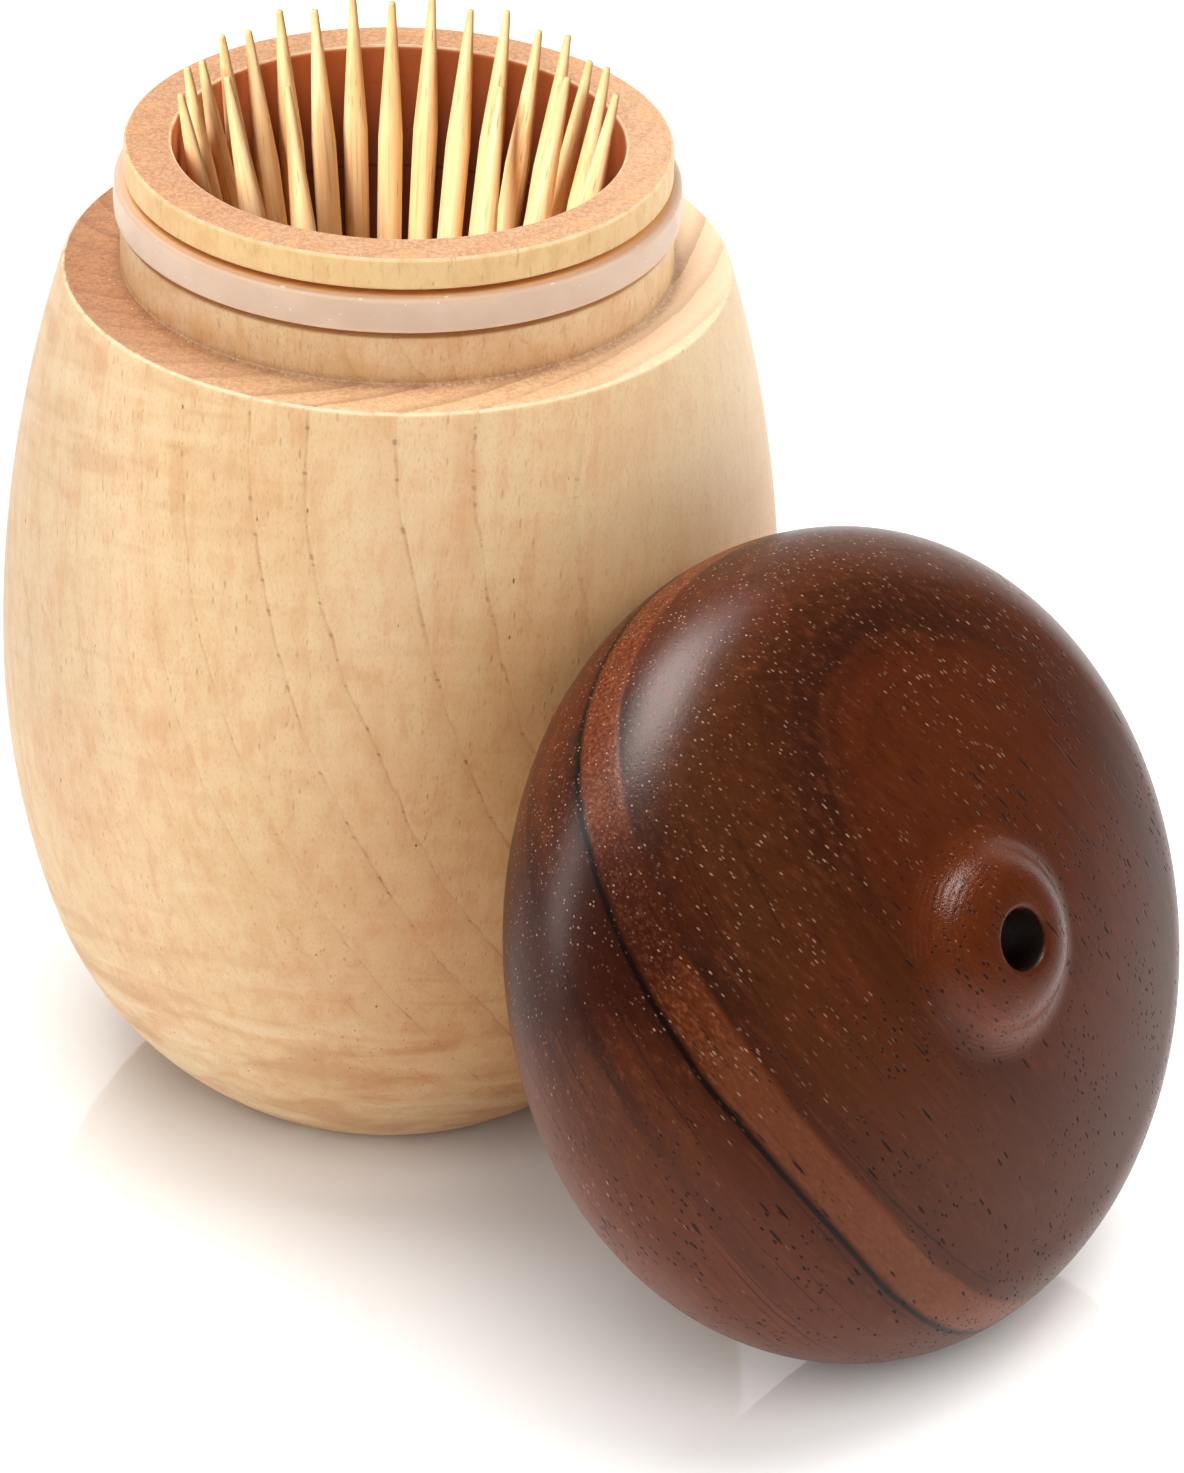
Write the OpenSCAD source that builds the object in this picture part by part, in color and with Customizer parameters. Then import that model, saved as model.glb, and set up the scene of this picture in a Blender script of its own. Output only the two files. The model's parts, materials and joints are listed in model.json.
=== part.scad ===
// A turned wooden toothpick dispenser, shaped like an acorn. A pale jar holds
// the toothpicks, a soft ring in its neck seals the lid, and the dark lid has a
// hole through its nib that lets one toothpick out when the closed jar is tipped.
// The jar stands on the floor at the origin. The lid is off, and leans on the
// jar's side with its rim edge on the floor. The toothpicks fan out against the
// back of the mouth. Lengths are in millimetres and angles in degrees.

/* [Jar] */
// jar, largest diameter
jar_w = 60; // [58:0.5:62]
// jar, height of the widest place
belly_z = 37.3; // [35:0.1:39]
// jar, height of the ledge that the lid's rim rests on when it is closed
ledge_z = 69.2; // [68:0.1:70]
// jar, radius of the long curve from the widest place up to the ledge
upper_curve_r = 108.9; // [95:0.1:120]
// jar, radius of the curve below the widest place
lower_curve_r = 70.8; // [66:0.1:76]
// jar, angle that the curve below the widest place turns through
lower_curve_angle = 17.8; // [15:0.1:20]
// jar, radius of the curve that runs in to the base
heel_curve_r = 28.4; // [27:0.1:30]
// jar, chamfer on the ledge's outer edge
ledge_chamfer = 0.4; // [0.2:0.1:0.8]

/* [Mouth and neck] */
// neck, height of the mouth above the ledge
neck_h = 10.1; // [9.6:0.1:11]
// bore that holds the toothpicks, diameter
bore_w = 33.9; // [33:0.1:34.5]
// solid wood below the bore
floor_t = 18.4; // [17:0.1:20]
// wood between the bore and the bottom of the groove
groove_wall = 2.05; // [1.9:0.05:2.3]
// groove for the sealing ring, depth below the neck
groove_depth = 1.85; // [1.7:0.05:2]
// groove for the sealing ring, height
groove_h = 3.8; // [3.5:0.1:4.2]
// lip above the groove, height
lip_h = 2.45; // [2:0.05:3]
// lip above the groove, how far it lies inside the neck, on the radius
lip_inset = 0.25; // [0.1:0.05:0.4]
// lip, chamfer on its outer and inner edges
lip_chamfer = 0.4; // [0.2:0.1:0.6]

/* [Sealing ring] */
// ring, how far the lid's socket squeezes it when the lid is on, on the radius
ring_squeeze = 0.15; // [0.1:0.05:0.25]
// ring, height
ring_h = 2.7; // [2.4:0.1:3]
// ring, radius of its rounded edges
ring_edge_r = 0.35; // [0.2:0.05:0.5]
// ring, how far it is stretched over the bottom of the groove, on the radius
ring_stretch = 0.05; // [0.02:0.01:0.08]

/* [Lid] */
// lid, largest diameter
lid_w = 62.2; // [60:0.1:64]
// lid, height of its widest place above its rim
lid_belly_z = 7.5; // [7:0.1:9]
// lid, rise of the crown above the widest place
lid_rise = 14.3; // [13.5:0.1:15.5]
// lid, radius of the curve above the widest place
lid_shoulder_r = 9.8; // [9:0.1:10.5]
// lid, radius of the curve below the widest place
lid_side_r = 13; // [12:0.1:14]
// lid, radius of the rim's outer edge
lid_edge_r = 1.2; // [0.8:0.1:2]
// lid, clearance round the neck, on the radius
neck_clearance = 0.3; // [0.25:0.05:0.35]
// lid, clearance above the lip when the lid is closed
lip_clearance = 0.6; // [0.4:0.1:1]
// lid, chamfer at the mouth of the socket
socket_chamfer = 0.6; // [0.3:0.1:1]
// lid, radius of the funnel where it leaves the socket
funnel_r = 16.5; // [14:0.5:18]
// lid, height of the funnel above the socket
funnel_h = 8.8; // [7:0.1:9]

/* [Nib and dispensing hole] */
// nib, height of its top above the lid's crown
nib_h = 3.1; // [2.6:0.1:3.6]
// nib, radius of its rounded side
nib_round_r = 4.4; // [4:0.1:5]
// nib, radius of its flat top
nib_flat_r = 2.8; // [2.8:0.1:3.4]
// nib, radius of the hollow curve round its foot
nib_foot_r = 4; // [3:0.1:5]
// dispensing hole, diameter
hole_w = 4.5; // [4:0.1:5]
// dispensing hole, radius of its rounded outer edge
hole_edge_r = 0.5; // [0.3:0.1:0.6]

/* [How the lid leans] */
// lid's axis, angle above the floor
lean = 24.5; // [22:0.5:27]
// lid's axis, angle from the front towards the right
bearing = 46.8; // [40:0.2:54]
// gap between the lid's rim edge and the jar's side
lean_gap = 0.2; // [0.1:0.05:0.5]

/* [Toothpicks] */
// toothpick, length
pick_l = 65; // [64:0.5:66]
// toothpick, diameter
pick_w = 1.9; // [1.7:0.05:1.95]
// toothpick, diameter of its blunt ends
pick_tip_w = 0.5; // [0.3:0.1:0.8]
// toothpick, length of each tapered end
pick_taper_l = 11; // [8:0.5:14]
// back rows, gap left between the toothpicks and the bore at the mouth
pick_side_gap = 0.2; // [0.15:0.05:0.25]
// back rows, gap between neighbours at the mouth
pick_gap = 0.99; // [0.98:0.01:1.05]
// back rows, how much higher every other toothpick stands, measured along it
pick_stagger = 0.5; // [0:0.1:1]
// front row, how far it stands in from the back rows at the mouth
front_row_gap = 2.8; // [2.7:0.1:3]
// whole fan, angle it is turned to the left
fan_turn = 2.5; // [0:0.5:5]

/* [Hidden] */
$fn = 96;
// how far a cutting shape runs past the face it cuts
past = 1;
eps = 0.01;

// jar
jar_r = jar_w / 2;
lower_centre = [jar_r - lower_curve_r, belly_z];
lower_end_z = belly_z - lower_curve_r * sin(lower_curve_angle);
curve_step = lower_curve_r - heel_curve_r;
heel_centre = lower_centre
    + curve_step * [cos(lower_curve_angle), -sin(lower_curve_angle)];
jar_h = ledge_z + neck_h;
ledge_rise = ledge_z - belly_z;
ledge_r = jar_r - upper_curve_r + sqrt(pow(upper_curve_r, 2) - pow(ledge_rise, 2));
bore_r = bore_w / 2;
groove_r = bore_r + groove_wall;
neck_r = groove_r + groove_depth;
lip_r = neck_r - lip_inset;
groove_top_z = jar_h - lip_h;
groove_z = groove_top_z - groove_h;

// lid, drawn with its rim at height zero
lid_r = lid_w / 2;
lid_shoulder_x = lid_r - lid_shoulder_r;
crown_r = (pow(lid_shoulder_x, 2) + pow(lid_rise, 2) - pow(lid_shoulder_r, 2))
    / (2 * (lid_rise - lid_shoulder_r));
crown_centre = [0, lid_belly_z + lid_rise - crown_r];
crown_join_a = atan2(lid_belly_z - crown_centre[1], lid_shoulder_x);
crown_join_x = lid_shoulder_x + lid_shoulder_r * cos(crown_join_a);
crown_join_z = lid_belly_z + lid_shoulder_r * sin(crown_join_a);
lid_side_x = lid_r - lid_side_r;
lid_edge_x = lid_side_x
    + sqrt(pow(lid_side_r - lid_edge_r, 2) - pow(lid_belly_z - lid_edge_r, 2));
lid_edge_a = atan2(lid_belly_z - lid_edge_r, lid_edge_x - lid_side_x);
lid_edge_z = lid_belly_z - lid_side_r * sin(lid_edge_a);
socket_r = neck_r + neck_clearance;
socket_h = neck_h + lip_clearance;
hole_r = hole_w / 2;
funnel_top_z = socket_h + funnel_h;
nib_top_z = lid_belly_z + lid_rise + nib_h;

// sealing ring, centred in the height of its groove
ring_in_r = groove_r - ring_stretch;
ring_t = socket_r + ring_squeeze - ring_in_r;
ring_z = groove_z + (groove_h - ring_h) / 2;

// the hollow curve at the nib's foot touches the crown and the nib's side
nib_centre = [nib_flat_r, nib_top_z - nib_round_r];
foot_base = norm(nib_centre - crown_centre);
foot_dir = (nib_centre - crown_centre) / foot_base;
foot_along = (pow(crown_r + nib_foot_r, 2) - pow(nib_round_r + nib_foot_r, 2)
    + pow(foot_base, 2)) / (2 * foot_base);
foot_across = sqrt(pow(crown_r + nib_foot_r, 2) - pow(foot_along, 2));
foot_centre = crown_centre + foot_along * foot_dir
    + foot_across * [foot_dir[1], -foot_dir[0]];
foot_touch = crown_centre
    + crown_r / (crown_r + nib_foot_r) * (foot_centre - crown_centre);

// the leaning lid stands on its side curve, or on its rim edge when it is steep
lid_rest_z = lean <= lid_edge_a
    ? lid_side_r + lid_side_x * cos(lean) - lid_belly_z * sin(lean)
    : lid_edge_r + lid_edge_x * cos(lean) - lid_edge_r * sin(lean);
lid_touch_z = lid_rest_z + lid_edge_x * cos(lean) + lid_edge_r * sin(lean);
lid_touch_x = jar_r - upper_curve_r
    + sqrt(pow(upper_curve_r + lid_edge_r + lean_gap, 2) - pow(lid_touch_z - belly_z, 2));
lid_rest_x = lid_touch_x + lid_edge_x * sin(lean) - lid_edge_r * cos(lean);

// toothpicks: two back rows that alternate, and a short row in front of them
back_count = 17;
// places of the front row, in steps of the back rows from the middle
front_places = [-6.7, -3.7, 3.7, 6.7];
pick_count = back_count + len(front_places);
pick_r = pick_w / 2;
back_ring_r = bore_r - pick_side_gap - pick_r;
front_ring_r = back_ring_r - front_row_gap;
pick_step = 2 * asin((pick_w + pick_gap) / (2 * back_ring_r));
foot_gap = 0.1;
// for each row, against the places at the mouth: how much the feet narrow
// sideways, how much they spread in depth, and how far back they stand as a
// share of the bore's radius
row_feet = [[0.23, 0.95, -0.216], [0.35, 1.31, -0.3345], [0.1, -2.08, 0.5015]];

function pick_name(i) = str("toothpick_", i < 9 ? "0" : "", i + 1);
function pick_row(i) = i < back_count ? i % 2 : 2;
function pick_angle(i) = 90 + pick_step * (i < back_count
    ? i - (back_count - 1) / 2
    : front_places[i - back_count]);
function pick_ring_r(i) = i < back_count ? back_ring_r : front_ring_r;
function pick_mouth(i) = [
    pick_ring_r(i) * cos(pick_angle(i)),
    pick_ring_r(i) * sin(pick_angle(i)),
    jar_h
];
function pick_foot(i) = [
    row_feet[pick_row(i)][0] * pick_mouth(i)[0],
    row_feet[pick_row(i)][1] * pick_mouth(i)[1] + row_feet[pick_row(i)][2] * bore_r,
    floor_t + foot_gap
];
function pick_dir(i) = (pick_mouth(i) - pick_foot(i)) / norm(pick_mouth(i) - pick_foot(i));

// part of the section between two heights
module band(low, high, width) {
    translate([0, low])
        square([width, high - low]);
}

module jar_outline() {
    intersection() {
        translate([jar_r - upper_curve_r, belly_z])
            circle(r = upper_curve_r);
        band(belly_z, ledge_z, jar_w);
    }
    intersection() {
        translate(lower_centre)
            circle(r = lower_curve_r);
        band(lower_end_z, belly_z, jar_w);
    }
    intersection() {
        translate(heel_centre)
            circle(r = heel_curve_r);
        band(0, lower_end_z, jar_w);
    }
    band(ledge_z - past, groove_z, neck_r);
    band(groove_z - past, groove_top_z + past, groove_r);
    band(groove_top_z, jar_h, lip_r);
}

module jar_cuts() {
    band(floor_t, jar_h + past, bore_r);
    // lip, inner edge
    polygon([
        [bore_r - eps, jar_h - lip_chamfer],
        [bore_r, jar_h - lip_chamfer],
        [bore_r + lip_chamfer, jar_h],
        [bore_r + lip_chamfer, jar_h + past],
        [bore_r - eps, jar_h + past]
    ]);
    // lip, outer edge
    polygon([
        [lip_r - lip_chamfer, jar_h],
        [lip_r, jar_h - lip_chamfer],
        [lip_r + past, jar_h - lip_chamfer],
        [lip_r + past, jar_h + past],
        [lip_r - lip_chamfer, jar_h + past]
    ]);
    // ledge, outer edge
    polygon([
        [ledge_r - ledge_chamfer, ledge_z],
        [ledge_r + ledge_chamfer, ledge_z - ledge_chamfer],
        [ledge_r + past, ledge_z - ledge_chamfer],
        [ledge_r + past, ledge_z + past],
        [ledge_r - ledge_chamfer, ledge_z + past]
    ]);
}

module jar() {
    color([0.84, 0.68, 0.45])
        rotate_extrude()
            difference() {
                jar_outline();
                jar_cuts();
            }
}

module seal_ring() {
    color([0.82, 0.79, 0.77])
        rotate_extrude()
            translate([ring_in_r, ring_z]) {
                translate([0, ring_edge_r])
                    square([ring_t, ring_h - 2 * ring_edge_r]);
                translate([0, 0])
                    square([ring_t - ring_edge_r, ring_h]);
                translate([ring_t - ring_edge_r, ring_edge_r])
                    circle(r = ring_edge_r);
                translate([ring_t - ring_edge_r, ring_h - ring_edge_r])
                    circle(r = ring_edge_r);
            }
}

module lid_outline() {
    // crown
    intersection() {
        translate(crown_centre)
            circle(r = crown_r);
        band(crown_join_z - past, nib_top_z, crown_join_x);
    }
    // above the widest place
    intersection() {
        translate([lid_shoulder_x, lid_belly_z])
            circle(r = lid_shoulder_r);
        band(lid_belly_z, crown_join_z, lid_w);
    }
    band(lid_belly_z, crown_join_z, lid_shoulder_x);
    // below the widest place
    intersection() {
        translate([lid_side_x, lid_belly_z])
            circle(r = lid_side_r);
        band(lid_edge_z, lid_belly_z, lid_w);
    }
    band(lid_edge_z, lid_belly_z, lid_side_x);
    // rim's outer edge
    intersection() {
        translate([lid_edge_x, lid_edge_r])
            circle(r = lid_edge_r);
        band(0, lid_edge_z, lid_w);
    }
    band(0, lid_edge_z, lid_edge_x);
}

module nib_outline() {
    difference() {
        polygon([
            [0, crown_join_z],
            [foot_touch[0], crown_join_z],
            foot_touch,
            foot_centre,
            nib_centre,
            [0, nib_centre[1]]
        ]);
        translate(foot_centre)
            circle(r = nib_foot_r);
    }
    intersection() {
        translate(nib_centre)
            circle(r = nib_round_r);
        band(crown_join_z, nib_top_z, lid_w);
    }
    band(crown_join_z, nib_top_z, nib_flat_r);
}

module lid_cuts() {
    band(-past, socket_h, socket_r);
    polygon([
        [socket_r - eps, -past],
        [socket_r + socket_chamfer, -past],
        [socket_r + socket_chamfer, 0],
        [socket_r, socket_chamfer],
        [socket_r - eps, socket_chamfer]
    ]);
    polygon([
        [0, socket_h - eps],
        [funnel_r, socket_h - eps],
        [funnel_r, socket_h],
        [hole_r, funnel_top_z],
        [0, funnel_top_z]
    ]);
    band(funnel_top_z - past, nib_top_z + past, hole_r);
    difference() {
        band(nib_top_z - hole_edge_r, nib_top_z + past, hole_r + hole_edge_r);
        translate([hole_r + hole_edge_r, nib_top_z - hole_edge_r])
            circle(r = hole_edge_r);
    }
}

module lid() {
    color([0.27, 0.14, 0.1])
        rotate([0, 0, bearing])
            translate([0, -lid_rest_x, lid_rest_z])
                rotate([90 - lean, 0, 0])
                    rotate_extrude()
                        difference() {
                            union() {
                                lid_outline();
                                nib_outline();
                            }
                            lid_cuts();
                        }
}

module toothpick(i) {
    tilt = acos(pick_dir(i)[2]);
    heading = atan2(pick_dir(i)[1], pick_dir(i)[0]);
    raise = pick_row(i) == 1 ? pick_stagger : 0;
    color([0.88, 0.76, 0.5])
        rotate([0, 0, fan_turn])
            translate(pick_foot(i) + raise * pick_dir(i))
                rotate([0, tilt, heading])
                    rotate_extrude()
                        polygon([
                            [0, 0],
                            [pick_tip_w / 2, 0],
                            [pick_r, pick_taper_l],
                            [pick_r, pick_l - pick_taper_l],
                            [pick_tip_w / 2, pick_l],
                            [0, pick_l]
                        ]);
}

jar();
seal_ring();
lid();
for (i = [0 : pick_count - 1])
    toothpick(i);
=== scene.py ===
"""Looks of the turned wooden toothpick dispenser, fitted to its CAD model.

The jar, the sealing ring, the lid and the toothpicks are turned again here as finer
meshes with softened edges, on the sizes of the CAD model. Sizes are in millimetres
and are scaled to metres where a mesh is made.
"""

import json
import math

import bmesh
import bpy
import numpy as np
from mathutils import Matrix, Vector


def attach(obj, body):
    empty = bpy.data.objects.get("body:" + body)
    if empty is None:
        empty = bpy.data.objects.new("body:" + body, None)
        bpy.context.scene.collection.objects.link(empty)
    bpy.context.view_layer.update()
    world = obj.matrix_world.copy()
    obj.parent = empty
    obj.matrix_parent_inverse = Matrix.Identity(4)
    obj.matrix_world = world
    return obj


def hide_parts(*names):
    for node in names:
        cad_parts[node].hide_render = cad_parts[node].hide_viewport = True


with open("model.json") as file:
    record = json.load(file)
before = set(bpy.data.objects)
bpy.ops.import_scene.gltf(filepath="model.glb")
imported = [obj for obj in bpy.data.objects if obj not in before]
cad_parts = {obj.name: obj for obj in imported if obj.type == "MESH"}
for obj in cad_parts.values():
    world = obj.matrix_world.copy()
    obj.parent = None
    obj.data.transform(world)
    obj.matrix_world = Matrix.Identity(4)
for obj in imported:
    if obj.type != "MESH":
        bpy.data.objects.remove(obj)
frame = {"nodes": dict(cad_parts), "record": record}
MM = 0.001
TURN = 2 * math.pi


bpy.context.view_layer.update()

# ---------------------------------------------------------------- sizes (mm)

# the jar: heights over its base, then radii from its axis and of its side's three arcs
FLOOR_Z = 18.4
BELLY_Z = 37.3
LEDGE_Z = 69.2
GROOVE_LOW = 73.05
GROOVE_HIGH = 76.85
MOUTH_Z = 79.3
JAR_R = 30.0
BORE_R = 16.95
GROOVE_R = 19.0
NECK_R = 20.85
LIP_R = 20.6
UPPER_R = 108.9
LOWER_R = 70.8
LOWER_TURN = 17.8  # degrees of the lower arc, before the heel's
HEEL_R = 28.4

# the sealing ring
RING_IN = 18.95
RING_OUT = 21.3
RING_LOW = 73.6
RING_H = 2.7
RING_EDGE = 0.35

# the lid, over its rim: outside, inside, nib and hole
LID_R = 31.1
LID_BELLY = 7.5
LID_RISE = 14.3  # from the belly to the crown's top
SHOULDER_R = 9.8
SIDE_R = 13.0
RIM_R = 1.2
SOCKET_R = 21.15
SOCKET_H = 10.7
FUNNEL_R = 16.5
FUNNEL_TOP = 19.5
NIB_TOP = 24.9
NIB_ROUND = 4.4
NIB_FLAT = 2.8
NIB_FOOT = 4.0
HOLE_R = 2.25
HOLE_EDGE = 0.5
HOLE_MIDDLE = 21.95  # where the mount of the hole is

PICK_LENGTH = 65.0
PICK_R = 0.95
PICK_TIP_R = 0.25
PICK_TAPER = 11.0

# how finely a piece is turned, and the least angle of a crease
SEGMENTS = 288
PICK_SEGMENTS = 24
CREASE = math.radians(32)


# ---------------------------------------------------------------- profiles

def arc(centre, radius, start, end, step):
    """Points on an arc from start to end, in degrees."""
    count = max(2, int(math.ceil(abs(end - start) / step)) + 1)
    return [
        (
            centre[0] + radius * math.cos(math.radians(a)),
            centre[1] + radius * math.sin(math.radians(a)),
        )
        for a in np.linspace(start, end, count)
    ]


def edge(corner, before, after, count=7):
    """A softened corner that leaves the line to before and meets the line to after."""
    out = []
    for t in np.linspace(0, 1, count):
        a, b, c = (1 - t) ** 2, 2 * t * (1 - t), t * t
        out.append(
            tuple(a * p + b * q + c * r for p, q, r in zip(before, corner, after))
        )
    return out


def run(a, b, step=1.0, inset=0.06):
    """Points along a straight line, with one close to each end to hold the shading."""
    length = math.dist(a, b)
    if length < 4 * inset:
        return []
    inner = max(1, int(length / step))
    places = [inset / length] + [i / inner for i in range(1, inner)] + [1 - inset / length]
    return [tuple(p + (q - p) * t for p, q in zip(a, b)) for t in places]


def heading(start, end):
    """Angle of the way from one point to another, in degrees."""
    across, up = end - start
    return math.degrees(math.atan2(up, across))


def path(*parts):
    """Joins runs of points, and drops those that coincide."""
    out = []
    for part in parts:
        for p in part:
            if not out or math.dist(out[-1], p) > 1e-4:
                out.append(p)
    return out


def jar_side(z):
    """Radius of the jar's outside at a height below the ledge."""
    lower = (JAR_R - LOWER_R, BELLY_Z)
    turn = math.radians(LOWER_TURN)
    if z >= BELLY_Z:
        return JAR_R - UPPER_R + math.sqrt(UPPER_R**2 - (z - BELLY_Z) ** 2)
    if z >= BELLY_Z - LOWER_R * math.sin(turn):
        return lower[0] + math.sqrt(LOWER_R**2 - (z - BELLY_Z) ** 2)
    heel_x = lower[0] + (LOWER_R - HEEL_R) * math.cos(turn)
    heel_z = BELLY_Z - (LOWER_R - HEEL_R) * math.sin(turn)
    return heel_x + math.sqrt(HEEL_R**2 - (z - heel_z) ** 2)


def jar_profile():
    """Base, side, ledge, neck, groove, lip and rim, then the bore and its floor."""
    base = jar_side(0.0)
    ledge = jar_side(LEDGE_Z)
    side = [(jar_side(z), z) for z in np.linspace(0.35, LEDGE_Z - 0.4, 110)]
    soft = 0.18
    return path(
        [(0.0, 0.0)],
        run((0.0, 0.0), (base - 0.5, 0.0), 2.0),
        edge((base, 0.0), (base - 0.5, 0.0), side[0]),
        side,
        edge((ledge, LEDGE_Z), side[-1], (ledge - 0.4, LEDGE_Z)),
        run((ledge - 0.4, LEDGE_Z), (NECK_R + 0.3, LEDGE_Z), 0.8),
        edge((NECK_R, LEDGE_Z), (NECK_R + 0.3, LEDGE_Z), (NECK_R, LEDGE_Z + 0.3)),
        run((NECK_R, LEDGE_Z + 0.3), (NECK_R, GROOVE_LOW - soft), 0.8),
        edge((NECK_R, GROOVE_LOW), (NECK_R, GROOVE_LOW - soft), (NECK_R - soft, GROOVE_LOW)),
        run((NECK_R - soft, GROOVE_LOW), (GROOVE_R + soft, GROOVE_LOW), 0.6),
        edge((GROOVE_R, GROOVE_LOW), (GROOVE_R + soft, GROOVE_LOW), (GROOVE_R, GROOVE_LOW + soft)),
        run((GROOVE_R, GROOVE_LOW + soft), (GROOVE_R, GROOVE_HIGH - soft), 0.8),
        edge(
            (GROOVE_R, GROOVE_HIGH),
            (GROOVE_R, GROOVE_HIGH - soft),
            (GROOVE_R + soft, GROOVE_HIGH),
        ),
        run((GROOVE_R + soft, GROOVE_HIGH), (LIP_R - soft, GROOVE_HIGH), 0.6),
        edge((LIP_R, GROOVE_HIGH), (LIP_R - soft, GROOVE_HIGH), (LIP_R, GROOVE_HIGH + soft)),
        run((LIP_R, GROOVE_HIGH + soft), (LIP_R, MOUTH_Z - 0.4), 0.6),
        edge((LIP_R, MOUTH_Z), (LIP_R, MOUTH_Z - 0.4), (LIP_R - 0.4, MOUTH_Z)),
        run((LIP_R - 0.4, MOUTH_Z), (BORE_R + 0.4, MOUTH_Z), 0.6),
        edge((BORE_R, MOUTH_Z), (BORE_R + 0.4, MOUTH_Z), (BORE_R, MOUTH_Z - 0.4)),
        run((BORE_R, MOUTH_Z - 0.4), (BORE_R, FLOOR_Z + 0.6), 2.0),
        edge((BORE_R, FLOOR_Z), (BORE_R, FLOOR_Z + 0.6), (BORE_R - 0.6, FLOOR_Z)),
        run((BORE_R - 0.6, FLOOR_Z), (0.0, FLOOR_Z), 2.0),
        [(0.0, FLOOR_Z)],
    )


def ring_profile():
    """The cross-section of the ring, from its lower inner corner round to it."""
    low, high = RING_LOW, RING_LOW + RING_H
    out = RING_OUT - RING_EDGE
    side = RING_H - 2 * RING_EDGE
    bulge = 0.05
    inset = 0.1
    return path(
        edge((RING_IN, low), (RING_IN, low + inset), (RING_IN + inset, low)),
        run((RING_IN + inset, low), (out, low), 0.7),
        arc((out, low + RING_EDGE), RING_EDGE, -90, 0, 12),
        # a moulded ring bulges a little between its edges
        [
            (RING_OUT + bulge * math.sin(math.pi * t), low + RING_EDGE + t * side)
            for t in np.linspace(0.08, 0.92, 9)
        ],
        arc((out, high - RING_EDGE), RING_EDGE, 0, 90, 12),
        run((out, high), (RING_IN + inset, high), 0.7),
        edge((RING_IN, high), (RING_IN + inset, high), (RING_IN, high - inset)),
        run((RING_IN, high - inset), (RING_IN, low + inset), 0.7),
    )


def lid_crown():
    """Height of the centre of the lid's crown, and its radius."""
    shoulder_x = LID_R - SHOULDER_R
    radius = (shoulder_x**2 + LID_RISE**2 - SHOULDER_R**2) / (2 * (LID_RISE - SHOULDER_R))
    return LID_BELLY + LID_RISE - radius, radius


def lid_profile():
    """Rim, side, shoulder and crown, then the nib on its hollow foot, the hole and the inside."""
    shoulder_x = LID_R - SHOULDER_R
    crown_z, crown_r = lid_crown()
    crown = np.array([0.0, crown_z])
    join = math.degrees(math.atan2(LID_BELLY - crown_z, shoulder_x))
    side_x = LID_R - SIDE_R
    rim_x = side_x + math.sqrt((SIDE_R - RIM_R) ** 2 - (LID_BELLY - RIM_R) ** 2)
    rim_turn = math.degrees(math.atan2(LID_BELLY - RIM_R, rim_x - side_x))
    # the foot's arc touches the crown and the nib from outside, so its centre is on both circles
    nib = np.array([NIB_FLAT, NIB_TOP - NIB_ROUND])
    base = float(np.linalg.norm(nib - crown))
    along_dir = (nib - crown) / base
    along = ((crown_r + NIB_FOOT) ** 2 - (NIB_ROUND + NIB_FOOT) ** 2 + base**2) / (2 * base)
    across = math.sqrt((crown_r + NIB_FOOT) ** 2 - along**2)
    foot = crown + along * along_dir + across * np.array([along_dir[1], -along_dir[0]])
    to_crown = heading(foot, crown) % 360
    to_nib = heading(foot, nib) % 360
    crown_end = heading(crown, foot)
    nib_start = heading(nib, foot)
    chamfer = 0.6
    lip = HOLE_R + HOLE_EDGE
    return path(
        edge(
            (SOCKET_R + chamfer, 0),
            (SOCKET_R + chamfer - 0.2, 0.2),
            (SOCKET_R + chamfer + 0.3, 0),
        ),
        run((SOCKET_R + chamfer + 0.3, 0), (rim_x, 0), 1.0),
        arc((rim_x, RIM_R), RIM_R, -90, -rim_turn, 6),
        arc((side_x, LID_BELLY), SIDE_R, -rim_turn, 0, 1.6),
        arc((shoulder_x, LID_BELLY), SHOULDER_R, 0, join, 2.0),
        arc(tuple(crown), crown_r, join, crown_end, 0.45),
        arc(tuple(foot), NIB_FOOT, to_crown, to_nib, 4.0),
        arc(tuple(nib), NIB_ROUND, nib_start, 90, 3.0),
        run((NIB_FLAT, NIB_TOP), (lip, NIB_TOP), 0.4, 0.03),
        arc((lip, NIB_TOP - HOLE_EDGE), HOLE_EDGE, 90, 180, 9),
        run((HOLE_R, NIB_TOP - HOLE_EDGE), (HOLE_R, FUNNEL_TOP), 0.8),
        [(HOLE_R, FUNNEL_TOP)],
        run((HOLE_R, FUNNEL_TOP), (FUNNEL_R, SOCKET_H), 1.2),
        [(FUNNEL_R, SOCKET_H)],
        run((FUNNEL_R, SOCKET_H), (SOCKET_R, SOCKET_H), 1.0),
        [(SOCKET_R, SOCKET_H)],
        run((SOCKET_R, SOCKET_H), (SOCKET_R, chamfer), 1.0),
        [(SOCKET_R, chamfer)],
        run((SOCKET_R, chamfer), (SOCKET_R + chamfer - 0.2, 0.2), 0.3),
    )


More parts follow.
